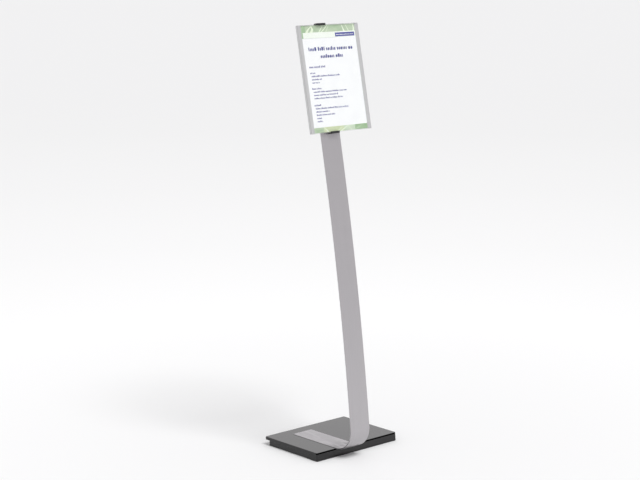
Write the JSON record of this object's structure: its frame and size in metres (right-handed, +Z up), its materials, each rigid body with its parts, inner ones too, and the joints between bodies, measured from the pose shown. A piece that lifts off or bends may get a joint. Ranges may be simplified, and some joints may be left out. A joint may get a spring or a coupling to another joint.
{
  "type": "sign stand",
  "caption": "Floor-standing sign stand: heavy rectangular base, a flat metal strut bent up from it and leaning back, and a printed sheet between clear panes held by black clips.",
  "frame": {"origin": "floor level under the middle of the whole footprint: the base's middle in X, half-way between the front of the strut's bend and the back of the base in Y", "axes": "+Z up; the sign faces -Y; +X is to the viewer's right"},
  "size_m": [0.31, 0.286, 1.2136],
  "materials": {
    "base_plastic": "fine-textured anthracite, matt",
    "tray_steel": "black powder coat",
    "ballast_steel": "raw rolled steel",
    "rubber": "matt black",
    "zinc_screws": "zinc plated",
    "steel_screws": "satin stainless",
    "strut_aluminium": "silver anodised, fine satin grain",
    "clip_plastic": "black, fine satin",
    "carriage_plastic": "dark grey, satin",
    "bracket_steel": "zinc-plated sheet",
    "spring_steel": "bright drawn wire and rod",
    "clear_acrylic": "clear, polished edges",
    "printed_paper": "matt printed sheet"
  },
  "bodies": {
    "stand": {"base_cover": "base_plastic", "base_tray": "tray_steel", "ballast_plate": "ballast_steel", "rubber_feet": "rubber", "tray_screws": "zinc_screws", "ballast_screws": "zinc_screws", "strut": "strut_aluminium", "foot_screws": "steel_screws", "pane_pads": "rubber", "bottom_clip": "clip_plastic", "bottom_clip_pad": "rubber", "bottom_clip_screws": "steel_screws", "clip_bracket": "bracket_steel", "bracket_screws": "zinc_screws", "guide_pins": "spring_steel", "clip_springs": "spring_steel", "rear_housing": "clip_plastic", "housing_screws": "steel_screws"},
    "sliding_clip": {"top_clip": "clip_plastic", "top_clip_pad": "rubber", "clip_carriage": "carriage_plastic", "carriage_screws": "steel_screws"},
    "rear_panel": {"rear_pane": "clear_acrylic"},
    "front_panel": {"front_pane": "clear_acrylic"},
    "printed_insert": {"insert_sheet": "printed_paper"}
  },
  "joints": [
    {"name": "clip_slide", "type": "slide", "parent": "stand", "child": "sliding_clip", "axis": [0, 0.1994, 0.9799], "range_m": [0, 0.008], "stiffness_N_per_m": 800, "springref_m": -0.01, "deforming": ["clip_springs"]},
    {"name": "front_pane_slide", "type": "slide", "parent": "stand", "child": "front_panel", "axis": [1, 0, 0], "range_m": [0, 0.12]},
    {"name": "rear_pane_slide", "type": "slide", "parent": "stand", "child": "rear_panel", "axis": [1, 0, 0], "range_m": [0, 0.12]},
    {"name": "insert_slide", "type": "slide", "parent": "stand", "child": "printed_insert", "axis": [1, 0, 0], "range_m": [0, 0.22]}
  ]
}
